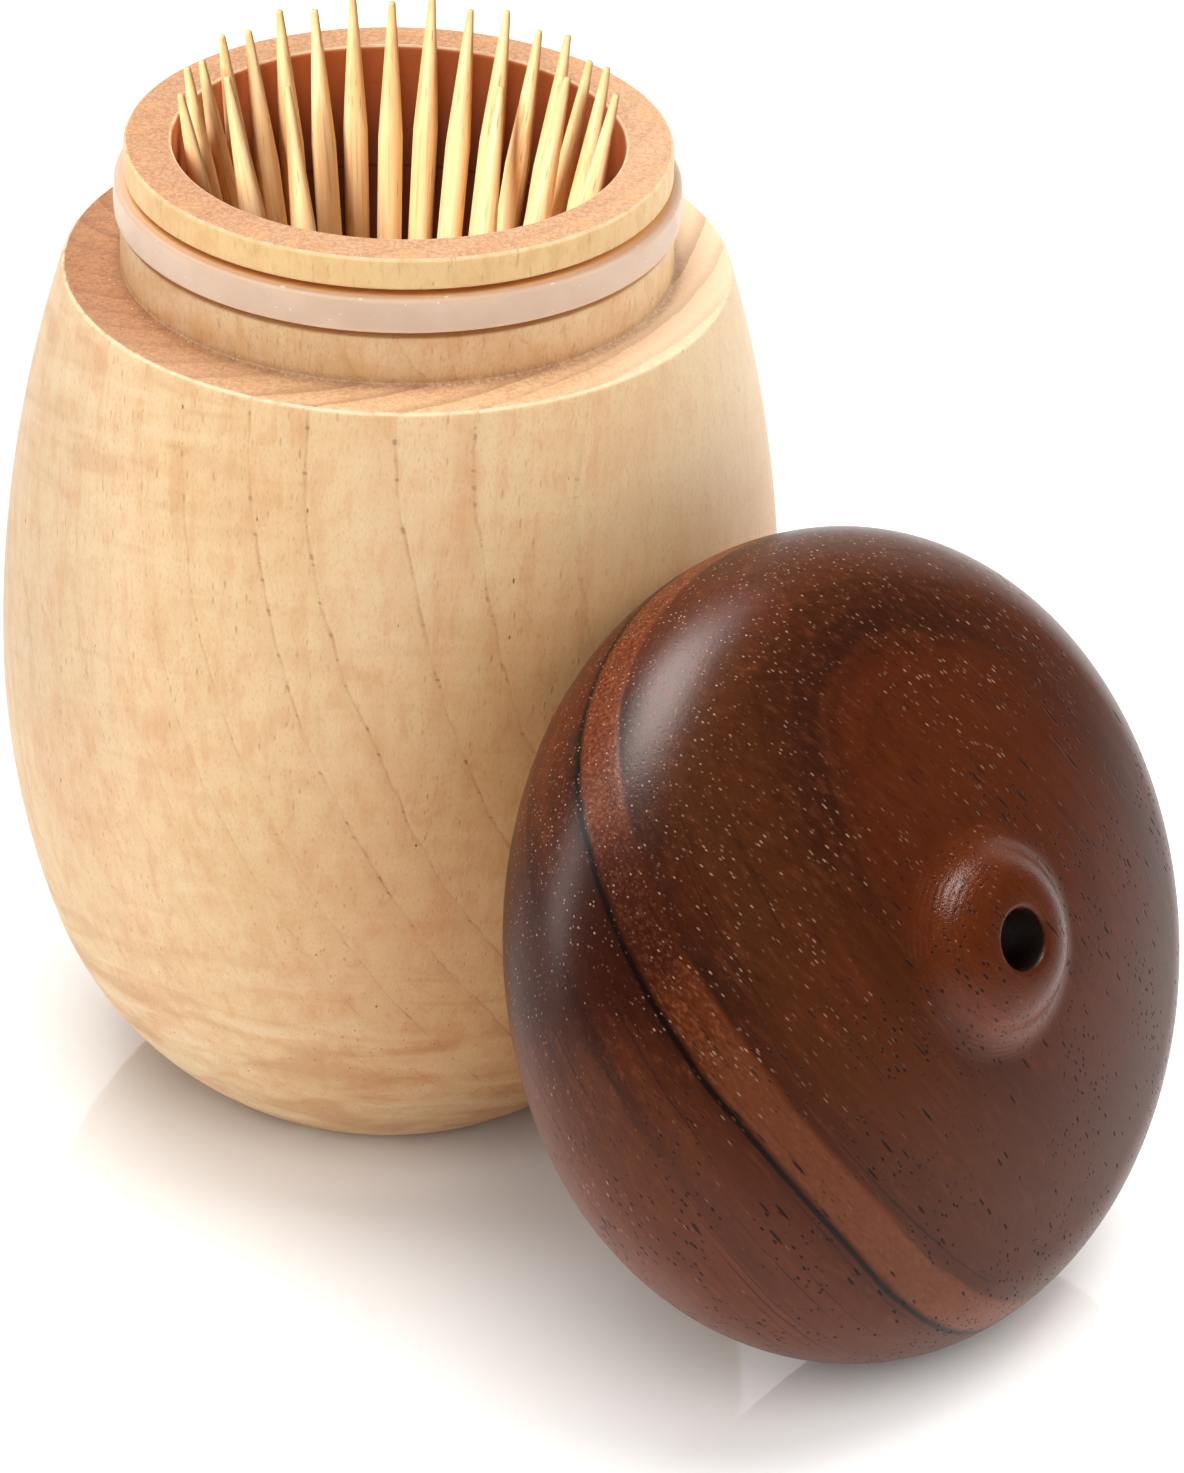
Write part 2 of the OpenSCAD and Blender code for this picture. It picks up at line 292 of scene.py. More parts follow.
def pick_profile():
    """A toothpick tapers with a slight belly to a small rounded end."""
    def radius(s):
        share = min(s, PICK_LENGTH - s) / PICK_TAPER
        return PICK_R if share >= 1 else PICK_TIP_R + (PICK_R - PICK_TIP_R) * share**0.9

    body = [(radius(s), s) for s in np.linspace(0.3, PICK_TAPER, 16)]
    body += [(radius(s), s) for s in np.linspace(PICK_TAPER, PICK_LENGTH - PICK_TAPER, 12)]
    body += [(radius(s), s) for s in np.linspace(PICK_LENGTH - PICK_TAPER, PICK_LENGTH - 0.3, 16)]
    first, last = body[0], body[-1]
    return path(
        [(0.0, 0.0)],
        edge((first[0], 0.0), (0.1, 0.0), first, 5),
        body,
        edge((last[0], PICK_LENGTH), last, (0.1, PICK_LENGTH), 5),
        [(0.0, PICK_LENGTH)],
    )


# ---------------------------------------------------------------- meshes

def turned(name, profile, segments, place=None):
    """A closed lathe mesh round its own Z axis, put in its place. Ends on the axis become poles.

    Each point keeps its own coordinates, in millimetres, for the material.
    """
    poles = profile[0][0] < 1e-9
    angles = [TURN * k / segments for k in range(segments)]
    mesh = bmesh.new()
    rings = []
    for r, z in profile:
        if r < 1e-9:
            rings.append([mesh.verts.new((0, 0, z * MM))])
            continue
        rings.append(
            [mesh.verts.new((r * MM * math.cos(a), r * MM * math.sin(a), z * MM)) for a in angles]
        )
    pairs = list(zip(rings, rings[1:]))
    if not poles:
        pairs.append((rings[-1], rings[0]))
    for a, b in pairs:
        for k in range(segments):
            j = (k + 1) % segments
            if len(a) == 1:
                mesh.faces.new((a[0], b[j], b[k]))
            elif len(b) == 1:
                mesh.faces.new((a[k], a[j], b[0]))
            else:
                mesh.faces.new((a[k], a[j], b[j], b[k]))
    bmesh.ops.recalc_face_normals(mesh, faces=mesh.faces)
    data = bpy.data.meshes.new(name)
    mesh.to_mesh(data)
    mesh.free()
    data.shade_smooth()
    data.set_sharp_from_angle(angle=CREASE)
    own = data.attributes.new("own_place", "FLOAT_VECTOR", "POINT")
    own.data.foreach_set("vector", [x / MM for v in data.vertices for x in v.co])
    if place is not None:
        data.transform(place)
    made = bpy.data.objects.new(name, data)
    bpy.context.scene.collection.objects.link(made)
    return made


# ---------------------------------------------------------------- materials

class Nodes:
    """Builds one node material. Values are sockets or plain numbers."""

    def __init__(self, name):
        self.material = bpy.data.materials.new(name)
        self.material.use_nodes = True
        self.tree = self.material.node_tree
        self.tree.nodes.clear()
        self.shader = self.tree.nodes.new("ShaderNodeBsdfPrincipled")
        out = self.tree.nodes.new("ShaderNodeOutputMaterial")
        self.tree.links.new(self.shader.outputs[0], out.inputs["Surface"])

    def put(self, socket, value):
        """Links a socket, or sets a plain value."""
        if isinstance(value, bpy.types.NodeSocket):
            self.tree.links.new(value, socket)
        else:
            socket.default_value = value

    def node(self, kind, inputs=(), **settings):
        """Adds a node, with its inputs by number or name and its other settings."""
        made = self.tree.nodes.new(kind)
        for key, value in settings.items():
            setattr(made, key, value)
        for key, value in dict(inputs).items():
            self.put(made.inputs[key], value)
        return made

    def math(self, operation, a, b=0.0, clamp=False):
        return self.node(
            "ShaderNodeMath", {0: a, 1: b}, operation=operation, use_clamp=clamp
        ).outputs[0]

    def add(self, a, b):
        return self.math("ADD", a, b)

    def times(self, a, b):
        return self.math("MULTIPLY", a, b)

    def vector(self, operation, a, b=(0, 0, 0)):
        made = self.node("ShaderNodeVectorMath", {0: a}, operation=operation)
        if operation == "SCALE":
            self.put(made.inputs["Scale"], b)
        else:
            self.put(made.inputs[1], b)
        return made.outputs["Value" if operation in ("DOT_PRODUCT", "LENGTH") else "Vector"]

    def join(self, x, y, z=0.0):
        return self.node("ShaderNodeCombineXYZ", {0: x, 1: y, 2: z}).outputs[0]

    def noise(self, at, scale, detail=2.0, rough=0.5, distort=0.0):
        return self.node(
            "ShaderNodeTexNoise",
            {
                "Vector": at,
                "Scale": scale,
                "Detail": detail,
                "Roughness": rough,
                "Distortion": distort,
            },
        ).outputs[0]

    def cells(self, at, scale):
        """Scattered cells: the distance to the nearest, and two numbers of its own."""
        made = self.node("ShaderNodeTexVoronoi", {"Vector": at, "Scale": scale})
        parts = self.node("ShaderNodeSeparateColor", {0: made.outputs["Color"]})
        return made.outputs["Distance"], parts.outputs[0], parts.outputs[1]

    def step(self, value, low, high, start=0.0, end=1.0):
        """Smooth change from start to end as value goes from low to high."""
        return self.node(
            "ShaderNodeMapRange",
            {"Value": value, "From Min": low, "From Max": high, "To Min": start, "To Max": end},
            interpolation_type="SMOOTHSTEP",
        ).outputs[0]

    def ramp(self, value, stops):
        """A colour for each value from 0 to 1, from stops of a place and a colour."""
        made = self.node("ShaderNodeValToRGB", {0: value})
        points = made.color_ramp.elements
        while len(points) < len(stops):
            points.new(0.5)
        for point, (place, colour) in zip(points, stops):
            point.position = place
            point.color = (*colour, 1)
        return made.outputs[0]

    def mix(self, amount, a, b, blend="MIX"):
        """Goes from colour a to colour b as amount goes from 0 to 1."""
        made = self.node("ShaderNodeMix", data_type="RGBA", blend_type=blend)
        self.put(made.inputs[0], amount)
        for socket, value in ((made.inputs[6], a), (made.inputs[7], b)):
            if isinstance(value, (tuple, list)):
                value = (*value[:3], 1)
            self.put(socket, value)
        return made.outputs[2]

    def bump(self, height, distance, strength):
        return self.node(
            "ShaderNodeBump", {"Height": height, "Distance": distance, "Strength": strength}
        ).outputs[0]

    def own_place(self):
        """The place in the piece's own frame, in mm, and its three coordinates."""
        at = self.node("ShaderNodeAttribute", attribute_name="own_place").outputs["Vector"]
        return at, *self.node("ShaderNodeSeparateXYZ", {0: at}).outputs

    def off_centre(self, at, scale, amount):
        """Smooth noise from about -amount / 2 to amount / 2."""
        return self.times(self.add(self.noise(at, scale), -0.5), amount)

    def set(self, **sockets):
        """Sets or links inputs of the shader, with _ for a space in their names."""
        for key, value in sockets.items():
            name = key.replace("_", " ")
            if isinstance(value, tuple) and len(value) == 3 and "Color" in name:
                value = (*value, 1)
            self.put(self.shader.inputs[name], value)


def srgb(*rgb):
    """Linear colour from 8-bit display values."""
    return tuple(
        (v / 255 / 12.92) if v <= 10.31 else ((v / 255 + 0.055) / 1.055) ** 2.4 for v in rgb
    )


def grain_axes(direction):
    """Unit vectors along the grain and across it."""
    along = Vector(direction).normalized()
    first = (Vector((1, 0, 0)) - along * along.x).normalized()
    return along, first, along.cross(first)


class Grain:
    """Places of a surface in its wood: across, along and the distance from the pith, in mm."""

    def __init__(self, n, direction, pith):
        along, first, second = grain_axes(direction)
        self.n = n
        self.at, self.x, self.y, self.z = n.own_place()
        self.from_axis = n.vector("LENGTH", n.join(self.x, self.y))
        self.u = n.vector("DOT_PRODUCT", self.at, first)
        self.w = n.vector("DOT_PRODUCT", self.at, second)
        self.t = n.vector("DOT_PRODUCT", self.at, along)
        from_pith = n.join(
            n.add(self.u, -Vector(pith).dot(first)), n.add(self.w, -Vector(pith).dot(second))
        )
        self.ring = n.vector("LENGTH", from_pith)

    def space(self, across, along):
        """A place with its own scales across and along the grain, for stretched patterns."""
        n = self.n
        return n.join(n.times(self.u, across), n.times(self.w, across), n.times(self.t, along))

    def pores(self, across, along, size, share):
        """Short tubes along the grain: how much of one is here, and a shade of its own."""
        n = self.n
        near, pick, shade = n.cells(self.space(across, along), 1.0)
        return n.times(n.step(near, size, 0.5 * size), n.step(pick, share, share - 0.06)), shade


# distances from the pith of the jar's growth lines (mm), and how strong each line is
JAR_LINES = [
    (5.0, 0.5), (7.6, 0.4), (10.3, 0.5), (13.0, 0.3), (16.2, 0.2), (19.0, 0.35), (21.3, 0.2),
    (23.6, 0.3), (26.0, 0.25), (28.3, 0.4), (30.6, 0.5), (33.9, 0.85), (36.1, 1.0), (39.0, 0.9),
    (41.0, 0.6), (43.4, 0.45), (46.0, 0.3), (48.4, 0.4), (50.6, 0.3), (53.5, 0.4),
]

# the place on the jar's side that the lid leans on, round which shade is painted
BESIDE_LID = (27.0, -26.0, 27.0)


def growth_lines(n, g):
    """Thin growth lines, the dark pores on them, the faint line itself, and late wood.

    The lines are sharp on one side only, and break up along the grain.
    """
    low, high = JAR_LINES[0][0] - 3.0, JAR_LINES[-1][0] + 3.0
    ring = n.add(g.ring, n.off_centre(g.space(0.10, 0.03), 1.0, 0.9))
    ring = n.add(ring, n.off_centre(g.space(0.9, 0.25), 1.0, 0.28))
    share = n.math("DIVIDE", n.add(ring, -low), high - low, clamp=True)
    # count is the number of lines passed so far, with a fraction between two of them
    places = [low] + [r for r, _ in JAR_LINES] + [high]
    last = len(places) - 1
    count = n.ramp(
        share, [((r - low) / (high - low), (i / last,) * 3) for i, r in enumerate(places)]
    )
    count = n.times(n.node("ShaderNodeSeparateColor", {0: count}).outputs[0], last)
    phase = n.math("FRACT", count)
    strength = n.ramp(share, [((r - low) / (high - low), (s,) * 3) for r, s in JAR_LINES])
    strength = n.node("ShaderNodeSeparateColor", {0: strength}).outputs[0]
    before = n.add(1.0, n.times(phase, -1.0))
    thin = n.math("MAXIMUM", n.step(before, 0.045, 0.008), n.step(phase, 0.022, 0.0))
    thin = n.times(thin, strength)
    side_by_side = n.join(n.times(g.t, 0.30), n.times(n.math("ROUND", count), 7.31))
    unbroken = n.step(n.noise(side_by_side, 1.0, 2.0, 0.6), 0.38, 0.64)
    specks = n.step(n.noise(n.vector("SCALE", side_by_side, 5.2), 1.0, 1.0), 0.58, 0.68)
    on_body = n.step(g.z, LEDGE_Z + 0.3, LEDGE_Z, 0.35, 1.0)
    thin = n.times(thin, on_body)
    line = n.times(thin, n.add(0.08, n.times(unbroken, 0.44)))
    late = n.times(n.step(before, 0.42, 0.0), strength)
    return thin, specks, line, late


def ripple(n, g, colour):
    """Ripple figure across the grain, strongest low down and high on the left."""
    z = g.z
    ripple_at = n.join(n.times(g.u, 0.10), n.times(g.w, 0.10), n.times(g.t, 0.50))
    figure = n.noise(ripple_at, 1.0, 2.0, 0.5, 0.6)
    where = n.math(
        "MAXIMUM",
        n.step(z, 28.0, 10.0),
        n.times(n.times(n.step(g.x, -9.0, -17.0), n.step(z, 50.0, 60.0)), 0.4),
    )
    where = n.add(0.20, n.times(where, 0.80))
    light_wave, dark_wave = n.step(figure, 0.50, 0.66), n.step(figure, 0.50, 0.34)
    colour = n.mix(n.times(light_wave, n.times(where, 0.64)), colour, srgb(249, 224, 184))
    return n.mix(n.times(dark_wave, n.times(where, 0.55)), colour, srgb(208, 152, 102))


def cut_ends(n, g, late):
    """Rim, ledge and base, where the grain is cut across: browner and stippled."""
    z = g.z
    on_rim = n.step(z, MOUTH_Z - 0.12, MOUTH_Z - 0.03)
    on_ledge = n.times(
        n.step(z, LEDGE_Z - 0.12, LEDGE_Z - 0.03), n.step(z, LEDGE_Z + 0.25, LEDGE_Z + 0.1)
    )
    on_base = n.step(z, 0.1, 0.02)
    end = n.math("MAXIMUM", n.math("MAXIMUM", on_rim, on_ledge), on_base)
    stipple = n.noise(g.at, 3.0, 3.0, 0.66, 0.8)
    cloud = n.noise(g.at, 0.5, 2.0)
    outer = n.step(g.ring, 19.0, 42.0)
    deep_colour = n.mix(outer, srgb(142, 82, 49), srgb(208, 160, 116))
    light_colour = n.mix(outer, srgb(172, 116, 76), srgb(230, 190, 148))
    colour = n.mix(n.step(stipple, 0.40, 0.58), deep_colour, light_colour)
    colour = n.mix(n.step(cloud, 0.35, 0.65, 0.0, 0.3), colour, light_colour)
    colour = n.mix(n.step(g.x, 12.0, 20.0, 0.0, 0.8), colour, srgb(246, 216, 184))
    line_colour = n.mix(outer, srgb(98, 50, 27), srgb(140, 82, 50))
    colour = n.mix(n.times(late, n.add(0.9, n.times(outer, -0.45))), colour, line_colour)
    rim_colour = n.mix(n.step(stipple, 0.40, 0.58), srgb(168, 112, 76), srgb(194, 148, 112))
    colour = n.mix(n.times(on_rim, 0.82), colour, rim_colour)
    return end, stipple, colour


def edge_highlights(n, g):
    """Thin painted highlights along the edges of the rim and the ledge."""
    z, from_axis = g.z, g.from_axis
    rim_edge = n.math(
        "MINIMUM",
        n.math("ABSOLUTE", n.add(from_axis, -(LIP_R - 0.12))),
        n.math("ABSOLUTE", n.add(from_axis, -(BORE_R + 0.12))),
    )
    rim_edge = n.times(n.step(rim_edge, 0.16, 0.04), n.step(z, MOUTH_Z - 0.4, MOUTH_Z - 0.1))
    ledge_edge = n.math("ABSOLUTE", n.add(from_axis, -(jar_side(LEDGE_Z) - 0.10)))
    ledge_edge = n.times(n.step(ledge_edge, 0.16, 0.04), n.step(z, LEDGE_Z - 0.4, LEDGE_Z - 0.15))
    lit_edge = n.math("MAXIMUM", rim_edge, ledge_edge)
    return n.times(lit_edge, n.step(n.noise(g.at, 1.1, 2.0), 0.30, 0.55, 0.35, 1.0))


def neck_wear_and_light(n, g, colour):
    """Painted light on the lip and in the groove, the rougher neck, and the dirt and crumbs in its
    corner.
    """
    z, from_axis = g.z, g.from_axis

    # painted light: the lip over the groove is paler
    on_lip = n.times(
        n.step(z, GROOVE_HIGH, GROOVE_HIGH + 0.2), n.step(from_axis, LIP_R - 0.2, LIP_R - 0.05)
    )
    colour = n.mix(n.times(on_lip, 0.60), colour, srgb(248, 208, 140))

    # the neck and the corner under it stay rougher and hold some dirt
    on_neck = n.times(
        n.step(z, LEDGE_Z, LEDGE_Z + 0.2), n.step(from_axis, GROOVE_R - 0.3, GROOVE_R)
    )
    around = n.times(n.math("ARCTAN2", g.y, g.x), NECK_R)
    scuffs_at = n.join(n.times(around, 2.6), n.times(z, 0.45))
    scuffs = n.step(n.noise(scuffs_at, 1.0, 3.0, 0.65), 0.56, 0.72)
    colour = n.mix(n.times(n.times(on_neck, scuffs), 0.42), colour, srgb(176, 116, 68))
    blotches = n.noise(n.join(n.times(around, 0.7), n.times(z, 0.35)), 1.0, 3.0, 0.6)
    blotches = n.times(n.step(blotches, 0.46, 0.64), on_neck)
    colour = n.mix(n.times(blotches, 0.28), colour, srgb(222, 164, 98))
    to_corner = n.vector(
        "LENGTH",
        n.join(
            n.math("ABSOLUTE", n.add(z, -LEDGE_Z)), n.math("ABSOLUTE", n.add(from_axis, -NECK_R))
        ),
    )
    dust = n.noise(g.at, 3.4, 3.0, 0.7)
    dirt = n.times(n.step(to_corner, 1.0, 0.1), n.step(dust, 0.34, 0.62, 0.30, 1.0))
    colour = n.mix(n.times(dirt, 0.42), colour, srgb(128, 78, 50))
    crumb_near, crumb_pick, _ = n.cells(g.at, 2.6)
    crumbs = n.times(n.step(crumb_near, 0.20, 0.10), n.step(crumb_pick, 0.40, 0.34))
    crumbs = n.times(crumbs, n.step(to_corner, 2.2, 0.5))
    colour = n.mix(n.times(crumbs, 0.75), colour, srgb(247, 228, 200))

    # painted light: the groove is warm and pale, as if lit through the seal
    in_groove = n.times(
        n.times(
            n.step(from_axis, NECK_R - 0.05, NECK_R - 0.5),
            n.step(from_axis, GROOVE_R - 0.4, GROOVE_R - 0.1),
        ),
        n.times(
            n.step(z, GROOVE_LOW - 0.1, GROOVE_LOW + 0.1),
            n.step(z, GROOVE_HIGH + 0.1, GROOVE_HIGH - 0.1),
        ),
    )
    colour = n.mix(n.times(in_groove, 0.95), colour, srgb(255, 200, 130))
    return colour, crumbs


def pale_wood():
    """The jar's wood, in the jar's own frame, with Z up its axis."""
    n = Nodes("pale_wood")
    g = Grain(n, direction=(0.037, 0.288, 0.957), pith=(-17.9, -8.0, 3.1))
    z, from_axis = g.z, g.from_axis
    thin, specks, line, late = growth_lines(n, g)

    # broad warm and light areas, then fibres along the grain
    area = n.noise(g.space(0.050, 0.022), 1.0, 2.0)
    colour = n.ramp(
        area,
        [(0.30, srgb(236, 199, 146)), (0.5, srgb(240, 202, 153)), (0.70, srgb(240, 204, 161))],
    )
    blush = n.noise(g.space(0.13, 0.06), 1.0, 2.0)
    colour = n.mix(n.step(blush, 0.48, 0.68, 0.0, 0.50), colour, srgb(230, 172, 124))
    mottle = n.noise(g.space(0.75, 0.30), 1.0, 2.0, 0.55, 0.4)
    colour = n.mix(n.step(mottle, 0.50, 0.66, 0.0, 0.38), colour, srgb(224, 162, 110))
    colour = n.mix(n.step(mottle, 0.46, 0.32, 0.0, 0.40), colour, srgb(243, 214, 168))
    pale_streak = n.noise(g.space(0.32, 0.035), 1.0, 2.0)
    colour = n.mix(n.step(pale_streak, 0.52, 0.72, 0.0, 0.45), colour, srgb(240, 212, 164))
    fibre = n.noise(g.space(3.2, 0.16), 1.0, 3.0, 0.6)
    colour = n.mix(n.step(fibre, 0.3, 0.75, 0.0, 0.26), colour, srgb(242, 212, 166))
    strand = n.noise(g.space(0.9, 0.05), 1.0, 2.0, 0.55)
    colour = n.mix(n.step(strand, 0.45, 0.75, 0.0, 0.28), colour, srgb(221, 174, 122))
    colour = n.mix(n.times(late, 0.22), colour, srgb(214, 158, 104))
    colour = n.mix(n.times(line, 0.80), colour, srgb(170, 108, 64))
    colour = n.mix(n.times(n.times(thin, specks), 0.58), colour, srgb(122, 72, 38))
    colour = ripple(n, g, colour)

    # pores: faint short dashes all over, and a few open ones
    faint, shade = g.pores(1.9, 0.45, 0.22, 0.80)
    crowd = n.step(n.noise(g.space(0.12, 0.05), 1.0, 1.0), 0.36, 0.6, 0.35, 1.0)
    faint = n.times(n.times(faint, crowd), n.add(0.12, n.times(shade, 0.36)))
    colour = n.mix(faint, colour, srgb(170, 112, 66))
    fine, _ = g.pores(3.4, 1.2, 0.28, 0.55)
    colour = n.mix(n.times(n.times(fine, crowd), 0.24), colour, srgb(176, 120, 76))
    deep, _ = g.pores(0.85, 0.35, 0.09, 0.16)
    colour = n.mix(n.times(deep, 0.8), colour, srgb(96, 58, 32))

    # painted light: paler high on the right
    painted_light_right = n.times(n.step(g.x, 10.0, 26.0), n.step(z, 40.0, 52.0))
    colour = n.mix(n.times(painted_light_right, 0.5), colour, srgb(250, 226, 190))

    # a fine stipple all over, then painted shade beside the lid and on the far left
    grit = n.noise(g.space(7.0, 2.6), 1.0, 2.0, 0.6)
    colour = n.mix(n.step(grit, 0.50, 0.70, 0.0, 0.22), colour, srgb(196, 138, 88))
    # painted shade: darker round the place where the lid leans on the jar
    from_lid = n.vector("LENGTH", n.vector("SUBTRACT", g.at, BESIDE_LID))
    lid_shade = n.times(n.step(from_lid, 44.0, 22.0), n.step(z, LEDGE_Z - 2.0, LEDGE_Z - 18.0))
    colour = n.mix(lid_shade, colour, (0.79, 0.63, 0.48), "MULTIPLY")
    # painted shade: the far left of the jar is greyed darker
    far_left_shade = n.times(n.step(g.x, -18.0, -29.0), n.step(z, 20.0, 45.0))
    colour = n.mix(far_left_shade, colour, (0.84, 0.85, 0.86), "MULTIPLY")

    end, stipple, end_colour = cut_ends(n, g, late)
    colour = n.mix(n.times(end, 0.86), colour, end_colour)
    # painted highlights on the rim's and the ledge's edges
    colour = n.mix(n.times(edge_highlights(n, g), 0.7), colour, srgb(255, 236, 200))
    colour, crumbs = neck_wear_and_light(n, g, colour)

    # painted shade: the bore is darker and browner with depth
    inside = n.times(
        n.step(from_axis, BORE_R + 0.12, BORE_R + 0.02), n.step(z, FLOOR_Z - 0.5, FLOOR_Z)
    )
    depth_shade = n.step(z, MOUTH_Z, MOUTH_Z - 11.0)
    bore_shade_colour = n.mix(depth_shade, srgb(200, 102, 40), srgb(124, 40, 10))
    colour = n.mix(n.times(inside, 0.9), colour, bore_shade_colour)

    rough = n.add(0.42, n.times(fibre, 0.12))
    rough = n.add(rough, n.times(n.math("MAXIMUM", end, inside), 0.2))
    pits = n.math("MAXIMUM", n.times(thin, specks), n.math("MAXIMUM", faint, deep))
    height = n.add(n.times(fibre, 0.30), n.times(pits, -0.9))
    height = n.add(height, n.times(n.times(end, stipple), 1.6))
    height = n.add(height, n.times(crumbs, 0.8))
    height = n.add(height, n.times(n.times(n.noise(g.at, 6.0, 2.0, 0.6), 0.3), n.add(0.4, end)))
    n.set(
        Base_Color=colour,
        Roughness=rough,
        Normal=n.bump(height, 0.00006, 0.8),
        Specular_IOR_Level=0.42,
    )
    return n.material


LID_LINE = 57.55  # how far from the pith the lid's sharp dark line is
TOOL_RING = 0.36  # from one ring of the turning tool to the next

# the lid's growth layers: distance from the pith (mm) and colour. The layer just inside
# the sharp line is reddish, and the dark one at 44.4 rings the nib
LID_LAYERS = [
    (36.0, (114, 51, 23)),
    (41.0, (114, 52, 23)),
    (43.4, (106, 46, 20)),
    (44.4, (74, 35, 18)),
    (45.4, (76, 37, 19)),
    (46.8, (98, 49, 23)),
    (50.0, (96, 52, 26)),
    (52.4, (80, 43, 23)),
    (54.0, (58, 30, 20)),
    (54.3, (128, 62, 31)),
    (57.0, (116, 53, 25)),
    (57.35, (34, 15, 10)),
    (57.7, (36, 16, 11)),
    (58.6, (78, 34, 16)),
    (61.5, (92, 44, 22)),
    (63.2, (56, 28, 17)),
    (63.9, (98, 50, 27)),
    (67.0, (84, 43, 24)),
    (70.0, (104, 53, 29)),
]


def lid_pores(n, g):
    """Pores that are open and dark, and those that pale dust fills towards the upper side."""
    crowd = n.step(n.noise(g.space(0.14, 0.07), 1.0, 2.0), 0.40, 0.60, 0.06, 1.0)
    dusty = n.times(n.step(g.t, 4.0, -14.0), n.math("MAXIMUM", crowd, n.step(g.t, -18.0, -26.0)))
    pale, shade = g.pores(3.3, 0.80, 0.29, 0.66)
    pale = n.times(n.times(pale, dusty), n.add(0.06, n.times(n.math("POWER", shade, 1.6), 0.94)))
    pale_long, shade = g.pores(1.9, 0.32, 0.15, 0.50)
    pale_long = n.times(pale_long, n.step(g.t, 12.0, -2.0))
    pale_long = n.times(pale_long, n.add(0.04, n.times(shade, 0.42)))
    opened = n.step(g.t, -20.0, -2.0, 0.10, 1.0)
    dark_long, _ = g.pores(1.4, 0.16, 0.19, 0.60)
    dark_short, _ = g.pores(2.6, 1.0, 0.30, 0.70)
    dots = n.times(dark_short, n.step(n.noise(g.space(0.16, 0.1), 1.0, 2.0), 0.42, 0.58))
    dark = n.times(n.math("MAXIMUM", dark_long, dots), opened)
    return dark, n.math("MAXIMUM", pale, pale_long)


def lid_inside(n, g):
    """How much of the socket and the funnel is here, and of the hole."""
    z, from_axis = g.z, g.from_axis
    inner = n.step(from_axis, SOCKET_R + 0.7, SOCKET_R + 0.3)
    inner = n.times(inner, n.step(z, FUNNEL_TOP, FUNNEL_TOP - 0.5))
    crown_z, crown_r = lid_crown()
    crown_height = n.math(
        "SQRT",
        n.math("MAXIMUM", n.add(crown_r**2, n.times(n.math("POWER", from_axis, 2.0), -1.0)), 0.0),
    )
    below_crown = n.add(n.add(crown_height, crown_z), n.times(z, -1.0))
    inner = n.times(inner, n.step(below_crown, 0.3, 0.8))
    in_hole = n.times(
        n.step(from_axis, HOLE_R + 0.30, HOLE_R + 0.02), n.step(z, NIB_TOP, NIB_TOP - 0.45)
    )
    return inner, in_hole


def tool_rings(n, g):
    """Rings of the turning tool, clearest round the foot of the nib on one side."""
    from_axis = g.from_axis
    turning = n.add(from_axis, n.off_centre(g.at, 0.4, 0.25))
    rings = n.math("SINE", n.times(turning, TURN / TOOL_RING))
    foot = n.times(n.step(from_axis, 4.2, 6.0), n.step(from_axis, 9.6, 8.0))
    foot = n.times(foot, n.step(g.x, 2.0, -3.0, 0.05, 1.0))
    foot = n.times(foot, n.step(n.noise(g.at, 0.35, 1.0), 0.35, 0.62, 0.1, 1.0))
    return n.times(rings, n.add(0.02, n.times(foot, 0.55)))


